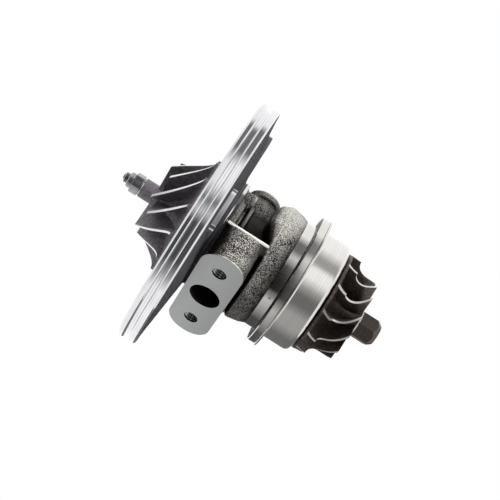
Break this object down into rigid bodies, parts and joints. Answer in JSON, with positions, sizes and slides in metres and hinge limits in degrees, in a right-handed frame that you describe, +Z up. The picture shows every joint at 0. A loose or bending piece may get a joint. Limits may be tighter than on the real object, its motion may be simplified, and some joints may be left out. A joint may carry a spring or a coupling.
{
  "type": "turbocharger cartridge",
  "caption": "Turbocharger centre cartridge: a rotor with compressor and turbine wheels in oil-fed plain bearings, in a cast housing with a seal plate, drain flange and heat shield.",
  "frame": {"origin": "on the rotor's axis, in the front face of the seal plate, which meets the compressor housing", "axes": "+X along the rotor from compressor to turbine, +Z up out of the oil inlet, drain towards -Z"},
  "size_m": [0.1703, 0.155, 0.155],
  "materials": {
    "cast_iron": "sand-cast, machined on its flanges",
    "turned_aluminium": "bright turned",
    "cast_aluminium": "cast, with machined blade edges",
    "nickel_alloy": "investment cast, dark",
    "stainless_sheet": "drawn sheet, satin",
    "bright_steel": "bright",
    "steel": "ground",
    "sheet_steel": "pressed sheet",
    "ring_iron": "ground",
    "bronze": "turned",
    "rubber": "moulded"
  },
  "bodies": {
    "housing": {"bearing_housing": "cast_iron", "seal_plate": "turned_aluminium", "seal_plate_screws": "steel", "seal_plate_o_ring": "rubber", "thrust_bearing": "bronze", "thrust_bearing_screws": "steel", "oil_deflector": "sheet_steel", "compressor_piston_ring": "ring_iron", "turbine_piston_ring": "ring_iron", "front_snap_ring": "steel", "rear_snap_ring": "steel", "bearing_spacer": "steel", "heat_shield": "stainless_sheet"},
    "rotor": {"rotor_shaft": "steel", "oil_flinger": "steel", "thrust_spacer": "steel", "thrust_washer": "steel", "compressor_wheel": "cast_aluminium", "compressor_nut": "bright_steel", "turbine_wheel": "nickel_alloy"},
    "front_bush": {"front_bearing": "bronze"},
    "rear_bush": {"rear_bearing": "bronze"}
  },
  "joints": [
    {"name": "rotor_spin", "type": "hinge", "parent": "housing", "child": "rotor", "pos_m": [0.04, 0, 0], "axis": [1, 0, 0], "continuous": true},
    {"name": "front_bearing_spin", "type": "hinge", "parent": "housing", "child": "front_bush", "pos_m": [0.0302, 0, 0], "axis": [1, 0, 0], "continuous": true},
    {"name": "rear_bearing_spin", "type": "hinge", "parent": "housing", "child": "rear_bush", "pos_m": [0.0542, 0, 0], "axis": [1, 0, 0], "continuous": true}
  ],
  "couplings": [
    {"joint": "front_bearing_spin", "follows": "rotor_spin", "ratio": 0.25},
    {"joint": "rear_bearing_spin", "follows": "rotor_spin", "ratio": 0.25}
  ]
}
